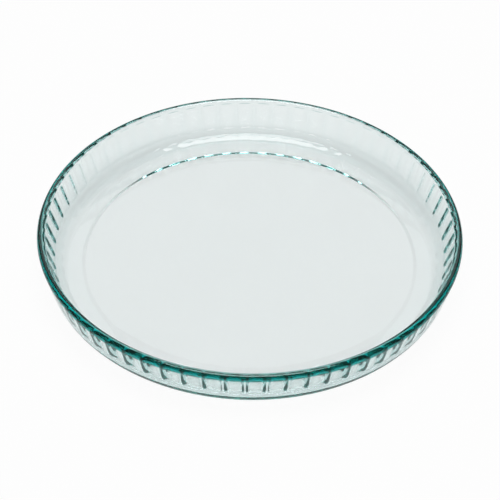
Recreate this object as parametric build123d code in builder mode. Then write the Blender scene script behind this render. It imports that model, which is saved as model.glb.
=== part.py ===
from build123d import *
import math
import os

# Fluted pie dish pressed from one gob of clear glass.
# Millimetres. +Z is up, and the origin is the middle of the base, level with its foot.

# Overall sizes
dish_diameter = 280.0
dish_height = 31.1

# Glass thicknesses
rim_thickness = 5.5
floor_thickness = 3.2

# Walls, which lean outwards from the base to the rim, in degrees from upright
outer_draft = 14.3
inner_draft = 17.5

# Roundings where the walls meet the underside and the floor
base_edge_radius = 11.5
floor_edge_radius = 9.0

# Shallow recess in the underside, which leaves a flat ring to stand on
recess_depth = 0.8
recess_slope = 15.0
foot_ring_width = 11.9

# Flutes pressed into the inside of the wall, with a narrow land left between them
flute_count = 64
flute_land = 0.7
flute_depth = 1.0
flute_end_length = 2.5
flute_top_gap = 2.0
flute_foot_height = 10.8

# The rim is a full round that the two walls meet as tangents
rim_radius = rim_thickness / 2
rim_centre = Vector(dish_diameter / 2 - rim_radius, dish_height - rim_radius)


def down_the_wall(draft):
    """Direction down a wall that leans outwards by the draft angle."""
    return Vector(-math.sin(math.radians(draft)), -math.cos(math.radians(draft)))


def out_of_the_wall(draft):
    """Direction square to that wall, away from the middle of the dish."""
    return Vector(math.cos(math.radians(draft)), -math.sin(math.radians(draft)))


def wall_point(start, draft, height):
    """The point of a wall, drawn down from its start, that lies at a height."""
    down = down_the_wall(draft)
    return start + down * ((height - start.Y) / down.Y)


# Places on the half section, as distance from the middle and height
outer_rim_point = rim_centre + out_of_the_wall(outer_draft) * rim_radius
inner_rim_point = rim_centre - out_of_the_wall(inner_draft) * rim_radius
base_corner = wall_point(outer_rim_point, outer_draft, 0)
floor_height = recess_depth + floor_thickness
floor_corner = wall_point(inner_rim_point, inner_draft, floor_height)
base_edge_run = base_edge_radius * math.tan(math.radians(90 - outer_draft) / 2)
recess_run = recess_depth / math.tan(math.radians(recess_slope))
recess_mouth = base_corner - Vector(base_edge_run + foot_ring_width, 0)
recess_edge = recess_mouth + Vector(-recess_run, recess_depth)

# A flute is the mark of a barrel with tapered ends that lies along the wall
flute_top = wall_point(inner_rim_point, inner_draft, dish_height - flute_top_gap)
flute_foot = wall_point(inner_rim_point, inner_draft, flute_foot_height)
flute_width = 2 * math.pi * flute_foot.X / flute_count - flute_land

# The barrel is a little slimmer than for a flat wall, as the wall curves the same way
flat_wall_radius = (flute_width**2 / 4 + flute_depth**2) / (2 * flute_depth)
barrel_radius = 1 / (1 / flat_wall_radius + 1 / flute_foot.X)

# Places on the barrel's half section, from its deepest line to its axis
down = down_the_wall(inner_draft)
out = out_of_the_wall(inner_draft)
deep_top = flute_top + down * flute_end_length + out * flute_depth
deep_foot = flute_foot - down * flute_end_length + out * flute_depth
tip_top = flute_top * 2 - deep_top
tip_foot = flute_foot * 2 - deep_foot
tip_radius = barrel_radius - flute_depth * 2
axis_top = tip_top - out * tip_radius
axis_foot = tip_foot - out * tip_radius

# The ring of flutes starts half a pitch round, so that none lies across the seam
half_pitch = 180 / flute_count

# One flute as a solid barrel, whose ends taper off into the wall
with BuildPart() as flute_barrel:
    with BuildSketch(Plane.XZ) as half_barrel:
        with BuildLine() as barrel_outline:
            Line(axis_top, axis_foot)
            Line(axis_foot, tip_foot)
            Line(tip_foot, deep_foot)
            Line(deep_foot, deep_top)
            Line(deep_top, tip_top)
            Line(tip_top, axis_top)
        make_face()
    axis_start = Vector(axis_foot.X, 0, axis_foot.Y)
    axis_end = Vector(axis_top.X, 0, axis_top.Y)
    revolve(axis=Axis(axis_start, axis_end - axis_start))

# The dish: its half section turned about the middle, then the ring of flutes
with BuildPart() as fluted_dish:
    with BuildSketch(Plane.XZ) as section:
        with BuildLine() as outline:
            Line((0, recess_depth), recess_edge)
            Line(recess_edge, recess_mouth)
            Line(recess_mouth, base_corner)
            Line(base_corner, outer_rim_point)
            ThreePointArc(outer_rim_point, rim_centre + Vector(0, rim_radius), inner_rim_point)
            Line(inner_rim_point, floor_corner)
            Line(floor_corner, (0, floor_height))
            Line((0, floor_height), (0, recess_depth))
        make_face()
        fillet(section.vertices().sort_by_distance(base_corner)[0], base_edge_radius)
        fillet(section.vertices().sort_by_distance(floor_corner)[0], floor_edge_radius)
    revolve(axis=Axis.Z)
    with PolarLocations(0, flute_count, start_angle=half_pitch):
        add(flute_barrel.part, mode=Mode.SUBTRACT)

os.makedirs("parts", exist_ok=True)
fluted_dish.part.label = "fluted_dish"
export_step(fluted_dish.part, "parts/fluted_dish.step")
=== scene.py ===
import math

import bpy
from mathutils import Matrix, Vector


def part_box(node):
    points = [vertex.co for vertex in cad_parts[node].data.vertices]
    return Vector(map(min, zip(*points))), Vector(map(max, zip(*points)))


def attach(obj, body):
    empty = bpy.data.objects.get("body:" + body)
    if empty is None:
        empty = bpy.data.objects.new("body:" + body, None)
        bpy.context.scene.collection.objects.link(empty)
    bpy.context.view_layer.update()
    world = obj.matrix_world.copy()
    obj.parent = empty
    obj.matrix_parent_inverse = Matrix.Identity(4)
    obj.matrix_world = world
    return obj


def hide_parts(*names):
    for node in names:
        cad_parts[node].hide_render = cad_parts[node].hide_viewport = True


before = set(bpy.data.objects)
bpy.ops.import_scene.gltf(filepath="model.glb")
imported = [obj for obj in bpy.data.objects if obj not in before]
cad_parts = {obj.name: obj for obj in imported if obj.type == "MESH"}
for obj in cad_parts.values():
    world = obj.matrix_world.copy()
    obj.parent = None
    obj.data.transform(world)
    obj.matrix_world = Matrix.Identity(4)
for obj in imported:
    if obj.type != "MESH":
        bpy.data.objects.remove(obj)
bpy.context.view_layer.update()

bl_info = {
    "name": "Fluted Glass Pie Dish",
    "version": (1, 0, 0),
    "blender": (4, 5, 0),
    "location": "View3D > Sidebar > Pie Dish",
    "description": "Models a pressed glass pie dish and the pale table it stands on",
    "category": "Add Mesh",
}

MM = 0.001
DISH_LOW, DISH_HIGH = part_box("fluted_dish")

# The photo's frame is square, and a focal length is given for a sensor of this width in mm
FRAME_PIXELS = 500
SENSOR_WIDTH = 36
FAR_CLIP = 100.0

# Light runs a long way round inside the rim before it leaves the glass
LIGHT_BOUNCES = 128

# Steps of the mesh
EDGE_STEPS = 10
RIM_STEPS = 16
WALL_STEPS = 6
FLUTE_END_STEPS = 8
FLUTE_SIDE_STEPS = 4
FLUTE_MIDDLE_STEPS = 6

# Share of a flute's width that each of its steep sides takes
FLUTE_SIDE_SHARE = 0.2

# Share of the ripples' height that their wide waves make up, where the fine ones are the rest
WIDE_WAVE_SHARE = 0.8

# Places this close are taken as one, and a point this close to the wall lies on it
MERGE_DISTANCE = 0.002 * MM
ON_WALL = 0.02 * MM

# The table lies this far under the dish, so that their faces never share a place
TABLE_GAP = 0.05 * MM

# A ring of edges runs this far inside each rounding, so that the wide flat faces shade flat
FLAT_RING = 8.0 * MM

WHITE = (1.0, 1.0, 1.0, 1.0)


# Sizes and colours

class GlassDishSettings(bpy.types.PropertyGroup):
    """Sizes of the dish, the tint of its glass and the painted shade on its rim."""

    diameter: bpy.props.FloatProperty(
        name="Diameter",
        description="Distance across the rim",
        default=DISH_HIGH.x - DISH_LOW.x,
        unit="LENGTH",
    )
    height: bpy.props.FloatProperty(
        name="Height",
        description="Height of the rim above the table",
        default=DISH_HIGH.z - DISH_LOW.z,
        unit="LENGTH",
    )
    rim_thickness: bpy.props.FloatProperty(
        name="Rim thickness",
        description="Thickness of the wall at its rounded rim",
        default=5.5 * MM,
        unit="LENGTH",
    )
    floor_thickness: bpy.props.FloatProperty(
        name="Floor thickness",
        description="Thickness of the glass in the middle of the dish",
        default=3.4 * MM,
        unit="LENGTH",
    )
    outer_draft: bpy.props.FloatProperty(
        name="Outer draft",
        description="Lean of the outside of the wall",
        default=math.radians(14.3),
        subtype="ANGLE",
    )
    inner_draft: bpy.props.FloatProperty(
        name="Inner draft",
        description="Lean of the inside of the wall",
        default=math.radians(17.5),
        subtype="ANGLE",
    )
    base_edge: bpy.props.FloatProperty(
        name="Base edge",
        description="Rounding between the underside and the outside of the wall",
        default=11.5 * MM,
        unit="LENGTH",
    )
    floor_edge: bpy.props.FloatProperty(
        name="Floor edge",
        description="Rounding between the floor and the inside of the wall",
        default=9.0 * MM,
        unit="LENGTH",
    )
    recess_depth: bpy.props.FloatProperty(
        name="Recess depth",
        description="Rise of the underside inside the ring the dish stands on",
        default=0.6 * MM,
        unit="LENGTH",
    )
    recess_radius: bpy.props.FloatProperty(
        name="Recess radius",
        description="Radius of the recess at its mouth",
        default=112.0 * MM,
        unit="LENGTH",
    )
    recess_slope: bpy.props.FloatProperty(
        name="Recess slope",
        description="Slope of the side of the recess, from level",
        default=math.radians(14.0),
        subtype="ANGLE",
    )
    recess_edge: bpy.props.FloatProperty(
        name="Recess edge",
        description="Rounding of the two edges of the recess",
        default=1.5 * MM,
        unit="LENGTH",
    )
    flutes: bpy.props.IntProperty(
        name="Flutes",
        description="Number of flutes round the wall",
        default=64,
        min=8,
    )
    flute_land: bpy.props.FloatProperty(
        name="Flute land",
        description="Width of the land between two flutes, at their foot",
        default=0.7 * MM,
        unit="LENGTH",
    )
    flute_depth: bpy.props.FloatProperty(
        name="Flute depth",
        description="Depth of one flute at its middle",
        default=1.0 * MM,
        unit="LENGTH",
    )
    flute_power: bpy.props.FloatProperty(
        name="Flute power",
        description="Squareness of a flute: 2 is round, and a larger power has steeper sides",
        default=3.5,
        min=2.0,
    )
    flute_end: bpy.props.FloatProperty(
        name="Flute end",
        description="Length over which each end of a flute runs out into the wall",
        default=2.5 * MM,
        unit="LENGTH",
    )
    flute_foot: bpy.props.FloatProperty(
        name="Flute foot",
        description="Height of the lower end of a flute",
        default=10.8 * MM,
        unit="LENGTH",
    )
    flute_tail: bpy.props.FloatProperty(
        name="Flute tail",
        description="Depth of the faint hollow that runs on from each flute round the floor edge",
        default=0.5 * MM,
        unit="LENGTH",
    )
    flute_top_gap: bpy.props.FloatProperty(
        name="Flute top gap",
        description="Distance from the upper end of a flute to the top of the rim",
        default=2.0 * MM,
        unit="LENGTH",
    )
    tint: bpy.props.FloatVectorProperty(
        name="Tint",
        description="Share of each colour that one density length of glass lets through",
        default=(0.30, 0.77, 0.75),
        size=3,
        min=0.0,
        max=1.0,
        subtype="COLOR",
    )
    tint_density: bpy.props.FloatProperty(
        name="Tint density",
        description="Strength of the tint for each metre of glass",
        default=25.0,
        min=0.0,
    )
    # The settings below paint shade: a darker teal painted into the glass colour on the outside of
    # the rim, standing in for the dimming of light that runs a long way round inside the glass.
    painted_rim_shade: bpy.props.FloatVectorProperty(
        name="Edge tint",
        description="Deeper tint of the outside of the rim, where light runs round in the glass",
        default=(0.0, 0.30, 0.28),
        size=3,
        min=0.0,
        max=1.0,
        subtype="COLOR",
    )
    painted_rim_shade_start: bpy.props.FloatProperty(
        name="Edge tint start",
        description="Distance from the inside of the rim at which the edge tint starts",
        default=0.8 * MM,
        unit="LENGTH",
    )
    painted_rim_shade_full: bpy.props.FloatProperty(
        name="Edge tint full",
        description="Distance from the inside of the rim at which the edge tint is full",
        default=3.2 * MM,
        unit="LENGTH",
    )
    painted_rim_shade_depth: bpy.props.FloatProperty(
        name="Edge tint depth",
        description="Distance below the top of the rim down to which the edge tint is full",
        default=3.0 * MM,
        unit="LENGTH",
    )
    painted_rim_shade_end: bpy.props.FloatProperty(
        name="Edge tint end",
        description="Distance below the top of the rim at which the edge tint ends",
        default=4.5 * MM,
        unit="LENGTH",
    )
    ripple: bpy.props.FloatProperty(
        name="Ripple",
        description="Height of the faint waves that pressing leaves in the glass",
        default=0.03 * MM,
        unit="LENGTH",
    )


class StageSettings(bpy.types.PropertyGroup):
    """The table, the lamps and the camera."""

    table_size: bpy.props.FloatProperty(
        name="Table size",
        description="Width of the pale table top",
        default=20.0,
        unit="LENGTH",
    )
    table_colour: bpy.props.FloatVectorProperty(
        name="Table colour",
        description="Colour of the table top",
        default=(0.85, 0.85, 0.85),
        size=3,
        min=0.0,
        max=1.0,
        subtype="COLOR",
    )
    lamp_height: bpy.props.FloatProperty(
        name="Lamp height",
        description="Height of the round soft lamp above the table",
        default=1.5,
        unit="LENGTH",
    )
    lamp_width: bpy.props.FloatProperty(
        name="Lamp width",
        description="Width of the round soft lamp",
        default=1.05,
        unit="LENGTH",
    )
    lamp_level: bpy.props.FloatProperty(
        name="Lamp level",
        description="Brightness of the face of the lamp, where 1 is white",
        default=6.0,
        min=0.0,
    )
    panel_width: bpy.props.FloatProperty(
        name="Panel width",
        description="Width of the soft panel behind the dish",
        default=3.0,
        unit="LENGTH",
    )
    panel_height: bpy.props.FloatProperty(
        name="Panel height",
        description="Height of the soft panel, along its face",
        default=0.7,
        unit="LENGTH",
    )
    panel_distance: bpy.props.FloatProperty(
        name="Panel distance",
        description="Distance from the middle of the dish to the middle of the panel",
        default=2.0,
        unit="LENGTH",
    )
    panel_elevation: bpy.props.FloatProperty(
        name="Panel elevation",
        description="Height of the panel above the table, as an angle",
        default=math.radians(40.0),
        subtype="ANGLE",
    )
    panel_level: bpy.props.FloatProperty(
        name="Panel level",
        description="Brightness of the face of the panel, where 1 is white",
        default=0.9,
        min=0.0,
    )
    room_level: bpy.props.FloatProperty(
        name="Room level",
        description="Brightness of the room round the lamps",
        default=0.12,
        min=0.0,
    )
    white_share: bpy.props.FloatProperty(
        name="White share",
        description="Share of plain white in the table as the camera sees it",
        default=0.95,
        min=0.0,
        max=1.0,
        subtype="FACTOR",
    )
    white_share_in_glass: bpy.props.FloatProperty(
        name="White share in glass",
        description="Share of plain white in the table as it shows in the glass",
        default=0.6,
        min=0.0,
        max=1.0,
        subtype="FACTOR",
    )
    rim_aside: bpy.props.FloatProperty(
        name="Rim aside",
        description="How far right of the frame's middle the rim's middle shows, in pixels of 500",
        default=0.08,
        subtype="PIXEL",
    )
    rim_above: bpy.props.FloatProperty(
        name="Rim above",
        description="How far above the frame's middle the rim's middle shows, in pixels of 500",
        default=23.1,
        subtype="PIXEL",
    )
    focal_length: bpy.props.FloatProperty(
        name="Focal length",
        description="Focal length in millimetres for a sensor 36 mm wide",
        default=118.3,
        min=1.0,
        unit="CAMERA",
    )
    elevation: bpy.props.FloatProperty(
        name="Elevation",
        description="Height of the camera above the table, as an angle",
        default=math.radians(41.2),
        subtype="ANGLE",
    )
    turn: bpy.props.FloatProperty(
        name="Turn",
        description="Turn of the camera round the dish",
        default=math.radians(0.5),
        subtype="ANGLE",
    )
    roll: bpy.props.FloatProperty(
        name="Roll",
        description="Roll of the camera about its own axis",
        default=math.radians(1.15),
        subtype="ANGLE",
    )
    distance: bpy.props.FloatProperty(
        name="Distance",
        description="Distance from the camera to the middle of the rim",
        default=1.085,
        unit="LENGTH",
    )


# Shader maths

class Value:
    """A socket that holds a number, whose operators add Math nodes."""

    def __init__(self, tree, socket):
        self.tree = tree
        self.socket = socket

    def math(self, operation, *others):
        values = [self.socket, *others]
        return self.tree.value(self.tree.node("ShaderNodeMath", {"operation": operation}, values))

    def __add__(self, other):
        return self.math("ADD", other)

    __radd__ = __add__

    def __mul__(self, other):
        return self.math("MULTIPLY", other)

    __rmul__ = __mul__

    def larger(self, other):
        return self.math("MAXIMUM", other)

    def ramp(self, low, high):
        """Runs smoothly from 0 at the low value to 1 at the high one."""
        values = {"Value": self, "From Min": low, "From Max": high}
        node = self.tree.node("ShaderNodeMapRange", {"interpolation_type": "SMOOTHSTEP"}, values)
        return self.tree.value(node)


class Tree:
    """The nodes of one material or world."""

    def __init__(self, owner):
        owner.use_nodes = True
        self.nodes = owner.node_tree.nodes
        self.links = owner.node_tree.links
        self.nodes.clear()

    def node(self, kind, settings=None, values=None):
        """Adds a node: its settings first, then a value or a link for each socket."""
        node = self.nodes.new(kind)
        for name, value in (settings or {}).items():
            setattr(node, name, value)
        pairs = values.items() if isinstance(values, dict) else enumerate(values or [])
        for name, value in pairs:
            value = getattr(value, "socket", value)
            if isinstance(value, bpy.types.NodeSocket):
                self.links.new(value, node.inputs[name])
            else:
                node.inputs[name].default_value = value
        return node

    def value(self, node, output=0):
        """Wraps one output of a node for maths."""
        return Value(self, node.outputs[output])

    def waves(self, place, scale, detail):
        """Soft noise over the surface."""
        values = {"Vector": place, "Scale": scale, "Detail": detail}
        return self.value(self.node("ShaderNodeTexNoise", {"noise_dimensions": "3D"}, values))

    def blend(self, share, low, high):
        """Goes from the low colour to the high one. A Mix node's colours are inputs 6 and 7."""
        values = {0: share, 6: low, 7: high}
        return self.node("ShaderNodeMix", {"data_type": "RGBA"}, values).outputs[2]


def painted_rim_shade_share(dish, tree, place):
    """Share of the painted rim shade, a darker teal painted on the outside of the rim, which is
    full there.
    """
    inner_edge = dish.diameter / 2 - dish.rim_thickness
    level_place = tree.node(
        "ShaderNodeVectorMath", {"operation": "MULTIPLY"}, [place, (1.0, 1.0, 0.0)]
    ).outputs["Vector"]
    length = tree.node("ShaderNodeVectorMath", {"operation": "LENGTH"}, [level_place])
    radius = tree.value(length, "Value")
    height = tree.value(tree.node("ShaderNodeSeparateXYZ", None, [place]), "Z")
    outside = radius.ramp(inner_edge + dish.painted_rim_shade_start, inner_edge + dish.painted_rim_shade_full)
    high = height.ramp(dish.height - dish.painted_rim_shade_end, dish.height - dish.painted_rim_shade_depth)
    return outside * high


def clear_glass(dish):
    """Clear pressed glass: faint ripples on its faces, a blue-green tint in its depth, and painted
    shade on the outside of the rim.
    """
    material = bpy.data.materials.new("clear_glass")
    tree = Tree(material)
    place = tree.node("ShaderNodeTexCoord").outputs["Object"]
    wide = tree.waves(place, scale=28.0, detail=1.0)
    fine = tree.waves(place, scale=90.0, detail=2.0)
    height = wide * WIDE_WAVE_SHARE + fine * (1 - WIDE_WAVE_SHARE)
    ripples = tree.node(
        "ShaderNodeBump", None, {"Height": height, "Strength": 1.0, "Distance": dish.ripple}
    )
    # Painted shade: the glass colour turns darker teal on the outside of the rim, standing in for
    # light dimmed on long paths round inside the glass.
    colour = tree.blend(painted_rim_shade_share(dish, tree, place), WHITE, (*dish.painted_rim_shade, 1.0))
    glass = tree.node(
        "ShaderNodeBsdfPrincipled",
        None,
        {
            "Base Color": colour,
            "Roughness": 0.0,
            "IOR": 1.5,
            "Transmission Weight": 1.0,
            "Normal": ripples.outputs["Normal"],
        },
    )
    depth = tree.node(
        "ShaderNodeVolumeAbsorption",
        None,
        {"Color": (*dish.tint, 1.0), "Density": dish.tint_density},
    )
    shown = {"Surface": glass.outputs["BSDF"], "Volume": depth.outputs["Volume"]}
    tree.node("ShaderNodeOutputMaterial", None, shown)
    return material


def pale_table(stage):
    """A pale matt table that the camera and the glass see part way to plain white."""
    material = bpy.data.materials.new("pale_table")
    tree = Tree(material)
    matt = tree.node("ShaderNodeBsdfDiffuse", None, {"Color": (*stage.table_colour, 1.0)})
    white = tree.node("ShaderNodeEmission", None, {"Color": WHITE, "Strength": 1.0})
    path = tree.node("ShaderNodeLightPath")
    in_glass = tree.value(path, "Is Glossy Ray").larger(tree.value(path, "Is Transmission Ray"))
    share = tree.value(path, "Is Camera Ray") * stage.white_share
    share = share.larger(in_glass * stage.white_share_in_glass)
    mixed = tree.node("ShaderNodeMixShader", None, [share, matt.outputs[0], white.outputs[0]])
    tree.node("ShaderNodeOutputMaterial", None, {"Surface": mixed.outputs[0]})
    return material


# Modelling

def deselect_all():
    """Leaves nothing selected, in object mode."""
    if bpy.context.object and bpy.context.object.mode != "OBJECT":
        bpy.ops.object.mode_set(mode="OBJECT")
    bpy.ops.object.select_all(action="DESELECT")


class Section:
    """A half section drawn in the XZ plane: straight runs by extrude and arcs by spin."""

    def __init__(self, name, x, z):
        deselect_all()
        bpy.ops.mesh.primitive_plane_add(size=MM, location=(0, 0, 0))
        self.object = bpy.context.object
        self.object.name = name
        self.object.data.name = name
        bpy.ops.object.mode_set(mode="EDIT")
        bpy.ops.mesh.merge(type="CENTER")
        bpy.ops.transform.translate(value=(x, 0, z))
        self.x = x
        self.z = z

    def run_to(self, x, z, pieces=1):
        """Goes straight to a point."""
        step = ((x - self.x) / pieces, 0, (z - self.z) / pieces)
        for _ in range(pieces):
            bpy.ops.mesh.extrude_region_move(TRANSFORM_OT_translate={"value": step})
        self.x = x
        self.z = z

    def arc(self, centre_x, centre_z, turn, pieces):
        """Goes round a centre, anticlockwise as seen with X to the right and Z up."""
        bpy.ops.mesh.spin(
            steps=pieces, angle=turn, center=(centre_x, 0, centre_z), axis=(0, 1, 0), dupli=False
        )
        x = self.x - centre_x
        z = self.z - centre_z
        self.x = centre_x + x * math.cos(turn) - z * math.sin(turn)
        self.z = centre_z + x * math.sin(turn) + z * math.cos(turn)

    def sweep(self, turn, pieces):
        """Turns the selected outline about the middle of the dish."""
        bpy.ops.mesh.spin(steps=pieces, angle=-turn, center=(0, 0, 0), axis=(0, 0, 1), dupli=False)


def inner_wall_x(dish, z):
    """Radius of the inside of the wall at a height."""
    half_rim = dish.rim_thickness / 2
    start_x = dish.diameter / 2 - half_rim - math.cos(dish.inner_draft) * half_rim
    start_z = dish.height - half_rim + math.sin(dish.inner_draft) * half_rim
    return start_x - (start_z - z) * math.tan(dish.inner_draft)


def draw_half_section(dish):
    """The outline from the middle of the underside round the rim to the middle of the floor."""
    half_rim = dish.rim_thickness / 2
    rim_x = dish.diameter / 2 - half_rim
    rim_z = dish.height - half_rim
    outer_x = rim_x + math.cos(dish.outer_draft) * half_rim
    outer_z = rim_z - math.sin(dish.outer_draft) * half_rim
    base_x = outer_x - outer_z * math.tan(dish.outer_draft)
    base_turn = math.pi / 2 - dish.outer_draft
    base_centre_x = base_x - dish.base_edge * math.tan(base_turn / 2)
    floor_z = dish.recess_depth + dish.floor_thickness
    floor_turn = math.pi / 2 - dish.inner_draft
    floor_centre_x = inner_wall_x(dish, floor_z) - dish.floor_edge * math.tan(floor_turn / 2)
    slope = dish.recess_slope
    slope_end = dish.recess_edge * math.tan(slope / 2)
    slope_x = dish.recess_radius - dish.recess_depth / math.tan(slope)

    # The underside, with the recess
    pen = Section("glass_dish", 0, dish.recess_depth)
    pen.run_to(slope_x - FLAT_RING, dish.recess_depth, 2)
    pen.run_to(slope_x - slope_end, dish.recess_depth)
    pen.arc(pen.x, pen.z - dish.recess_edge, -slope, 2)
    pen.run_to(
        dish.recess_radius - slope_end * math.cos(slope), slope_end * math.sin(slope), 2
    )
    pen.arc(dish.recess_radius + slope_end, dish.recess_edge, slope, 2)
    pen.run_to(base_centre_x, 0, 2)

    # The outside of the wall, and the rim
    pen.arc(base_centre_x, dish.base_edge, base_turn, EDGE_STEPS)
    pen.run_to(outer_x, outer_z, 3)
    pen.arc(rim_x, rim_z, math.pi - dish.inner_draft + dish.outer_draft, RIM_STEPS)

    # The inside of the wall, with its rows close together at the ends of the flutes
    end = dish.flute_end * math.cos(dish.inner_draft)
    top = dish.height - dish.flute_top_gap
    for z, pieces in (
        (top, 1),
        (top - end, FLUTE_END_STEPS),
        (dish.flute_foot + end, WALL_STEPS),
        (dish.flute_foot, FLUTE_END_STEPS),
        (floor_z + dish.floor_edge * (1 - math.sin(dish.inner_draft)), 1),
    ):
        pen.run_to(inner_wall_x(dish, z), z, pieces)

    # The floor
    pen.arc(floor_centre_x, floor_z + dish.floor_edge, -floor_turn, EDGE_STEPS)
    pen.run_to(floor_centre_x - FLAT_RING, floor_z)
    pen.run_to(0, floor_z, 2)
    return pen


def flute_width(dish):
    """Width of a flute, which leaves the land between two of them."""
    return 2 * math.pi * inner_wall_x(dish, dish.flute_foot) / dish.flutes - dish.flute_land


def press_flute(dish, piece, middle):
    """Presses a flute into the inside of the wall, and the faint hollow that runs on below it."""
    reach = flute_width(dish) / 2
    top = dish.height - dish.flute_top_gap
    floor_z = dish.recess_depth + dish.floor_thickness
    group = piece.vertex_groups.new(name="flute")
    for vertex in piece.data.vertices:
        x, y, z = vertex.co
        radius = math.hypot(x, y)
        side = min(abs(radius * (math.atan2(y, x) - middle)) / reach, 1)
        from_end = min(z - dish.flute_foot, top - z) / math.cos(dish.inner_draft)
        if from_end > 0 and abs(radius - inner_wall_x(dish, z)) < ON_WALL:
            end = max(1 - from_end / dish.flute_end, 0)
            share = max(1 - side ** dish.flute_power - end ** dish.flute_power, 0)
            group.add([vertex.index], share, "REPLACE")
        elif from_end <= 0 and vertex.normal.z > 0:
            along = min(max((z - floor_z) / (dish.flute_foot - floor_z), 0), 1)
            wave = math.sin(math.pi * along) ** 2 * (1 + math.cos(math.pi * side)) / 2
            group.add([vertex.index], wave * dish.flute_tail / dish.flute_depth, "REPLACE")
    press = piece.modifiers.new("flute", "DISPLACE")
    press.vertex_group = group.name
    press.mid_level = 0.0
    press.strength = -dish.flute_depth
    bpy.ops.object.modifier_apply(modifier=press.name)
    piece.vertex_groups.clear()


class PIEDISH_OT_glass_dish(bpy.types.Operator):
    """Models the fluted glass dish in place of its plain solid"""

    bl_idname = "piedish.glass_dish"
    bl_label = "Glass dish"

    def execute(self, context):
        dish = context.scene.piedish_glass
        pitch = 2 * math.pi / dish.flutes
        flute = flute_width(dish) / inner_wall_x(dish, dish.flute_foot)
        half_land = (pitch - flute) / 2
        side = FLUTE_SIDE_SHARE * flute
        pen = draw_half_section(dish)
        piece = pen.object
        bpy.ops.mesh.select_all(action="SELECT")
        for turn, pieces in (
            (half_land, 1),
            (side, FLUTE_SIDE_STEPS),
            (flute - 2 * side, FLUTE_MIDDLE_STEPS),
            (side, FLUTE_SIDE_STEPS),
            (half_land, 1),
        ):
            pen.sweep(turn, pieces)
        bpy.ops.mesh.select_all(action="SELECT")
        bpy.ops.mesh.normals_make_consistent(inside=False)
        bpy.ops.object.mode_set(mode="OBJECT")
        press_flute(dish, piece, pitch / 2)
        bpy.ops.object.mode_set(mode="EDIT")
        bpy.ops.mesh.select_all(action="SELECT")
        bpy.ops.mesh.spin(
            steps=dish.flutes - 1,
            angle=-pitch * (dish.flutes - 1),
            center=(0, 0, 0),
            axis=(0, 0, 1),
            dupli=True,
        )
        bpy.ops.mesh.select_all(action="SELECT")
        bpy.ops.mesh.remove_doubles(threshold=MERGE_DISTANCE)
        bpy.ops.mesh.normals_make_consistent(inside=False)
        bpy.ops.object.mode_set(mode="OBJECT")
        bpy.ops.object.shade_smooth()
        piece.data.materials.append(clear_glass(dish))
        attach(piece, "root")
        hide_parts("fluted_dish")
        return {"FINISHED"}


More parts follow.
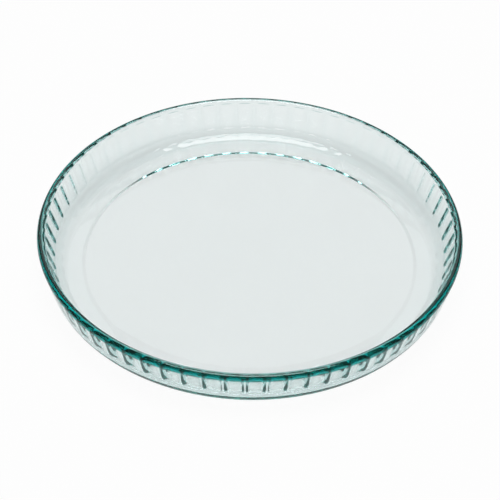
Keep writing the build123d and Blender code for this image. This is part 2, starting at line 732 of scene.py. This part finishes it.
class PIEDISH_OT_stage(bpy.types.Operator):
    """Lays the table and sets up the soft light and the camera"""

    bl_idname = "piedish.stage"
    bl_label = "Stage"

    def execute(self, context):
        scene = context.scene
        stage = scene.piedish_stage
        self.table(stage)
        self.lamps(stage)
        self.room(scene, stage)
        self.camera(scene, stage)
        return {"FINISHED"}

    def table(self, stage):
        """Lays the table top just under the dish."""
        deselect_all()
        bpy.ops.mesh.primitive_plane_add(size=stage.table_size, location=(0, 0, 0))
        top = bpy.context.object
        top.name = "table_top"
        bpy.ops.object.mode_set(mode="EDIT")
        bpy.ops.transform.translate(value=(0, 0, -TABLE_GAP))
        bpy.ops.object.mode_set(mode="OBJECT")
        top.data.materials.append(pale_table(stage))

    def lamps(self, stage):
        """Hangs the round lamp over the dish and sets the panel up behind it, facing the dish."""
        lamp = self.soft_lamp("soft_lamp", (0, 0, stage.lamp_height), 0)
        lamp.shape = "DISK"
        lamp.size = stage.lamp_width
        lamp.energy = stage.lamp_level * math.pi * (math.pi * stage.lamp_width ** 2 / 4)
        elevation = stage.panel_elevation
        behind = stage.panel_distance * math.cos(elevation)
        above = stage.panel_distance * math.sin(elevation)
        panel = self.soft_lamp("back_panel", (0, behind, above), elevation - math.pi / 2)
        panel.shape = "RECTANGLE"
        panel.size = stage.panel_width
        panel.size_y = stage.panel_height
        panel.energy = stage.panel_level * math.pi * (stage.panel_width * stage.panel_height)

    def soft_lamp(self, name, location, turn):
        """Adds an area lamp. Its power is its level times pi times the area of its face."""
        deselect_all()
        bpy.ops.object.light_add(type="AREA", location=location, rotation=(turn, 0, 0))
        bpy.context.object.name = name
        return bpy.context.object.data

    def room(self, scene, stage):
        """Gives the room its even level, with plain colours and long light paths."""
        world = bpy.data.worlds.new("room")
        scene.world = world
        tree = Tree(world)
        level = stage.room_level
        colour = {"Color": (level, level, level, 1.0), "Strength": 1.0}
        room = tree.node("ShaderNodeBackground", None, colour)
        tree.node("ShaderNodeOutputWorld", None, {"Surface": room.outputs[0]})
        scene.view_settings.view_transform = "Standard"
        for name in ("max_bounces", "transmission_bounces", "glossy_bounces"):
            setattr(scene.cycles, name, LIGHT_BOUNCES)

    def camera(self, scene, stage):
        """Looks at the dish so that the middle of its rim falls on the photo's place for it."""
        deselect_all()
        turn = Matrix.Rotation(stage.turn, 3, "Z")
        right = turn @ Vector((1, 0, 0))
        back = turn @ Vector((0, -math.cos(stage.elevation), math.sin(stage.elevation)))
        up = turn @ Vector((0, math.sin(stage.elevation), math.cos(stage.elevation)))
        rim_middle = Vector((0, 0, DISH_HIGH.z - scene.piedish_glass.rim_thickness / 2))
        focal = stage.focal_length / SENSOR_WIDTH * FRAME_PIXELS
        roll_cos = math.cos(stage.roll)
        roll_sin = math.sin(stage.roll)
        aside = stage.rim_aside * roll_cos - stage.rim_above * roll_sin
        above = stage.rim_above * roll_cos + stage.rim_aside * roll_sin
        look = (-back - right * aside / focal - up * above / focal).normalized()
        across = (right - look * right.dot(look)).normalized()
        raised = (-look).cross(across)
        x_axis = across * roll_cos + raised * roll_sin
        y_axis = raised * roll_cos - across * roll_sin
        view = Matrix((x_axis, y_axis, -look)).transposed()
        bpy.ops.object.camera_add(
            location=rim_middle + back * stage.distance, rotation=view.to_euler()
        )
        camera = bpy.context.object
        camera.name = "camera"
        camera.data.sensor_width = SENSOR_WIDTH
        camera.data.lens = stage.focal_length
        camera.data.clip_end = FAR_CLIP
        scene.camera = camera


class PIEDISH_PT_panel(bpy.types.Panel):
    """Sidebar panel for the dish and its stage"""

    bl_idname = "PIEDISH_PT_panel"
    bl_label = "Pie Dish"
    bl_space_type = "VIEW_3D"
    bl_region_type = "UI"
    bl_category = "Pie Dish"

    def draw(self, context):
        scene = context.scene
        for settings, operator in (
            (scene.piedish_glass, "piedish.glass_dish"),
            (scene.piedish_stage, "piedish.stage"),
        ):
            box = self.layout.box()
            box.operator(operator)
            for name in settings.bl_rna.properties.keys():
                if name not in ("rna_type", "name"):
                    box.prop(settings, name)


CLASSES = (
    GlassDishSettings,
    StageSettings,
    PIEDISH_OT_glass_dish,
    PIEDISH_OT_stage,
    PIEDISH_PT_panel,
)


def register():
    for cls in CLASSES:
        bpy.utils.register_class(cls)
    bpy.types.Scene.piedish_glass = bpy.props.PointerProperty(type=GlassDishSettings)
    bpy.types.Scene.piedish_stage = bpy.props.PointerProperty(type=StageSettings)


def unregister():
    del bpy.types.Scene.piedish_stage
    del bpy.types.Scene.piedish_glass
    for cls in reversed(CLASSES):
        bpy.utils.unregister_class(cls)


def main():
    register()
    bpy.ops.piedish.stage()
    bpy.ops.piedish.glass_dish()


if __name__ == "__main__":
    main()
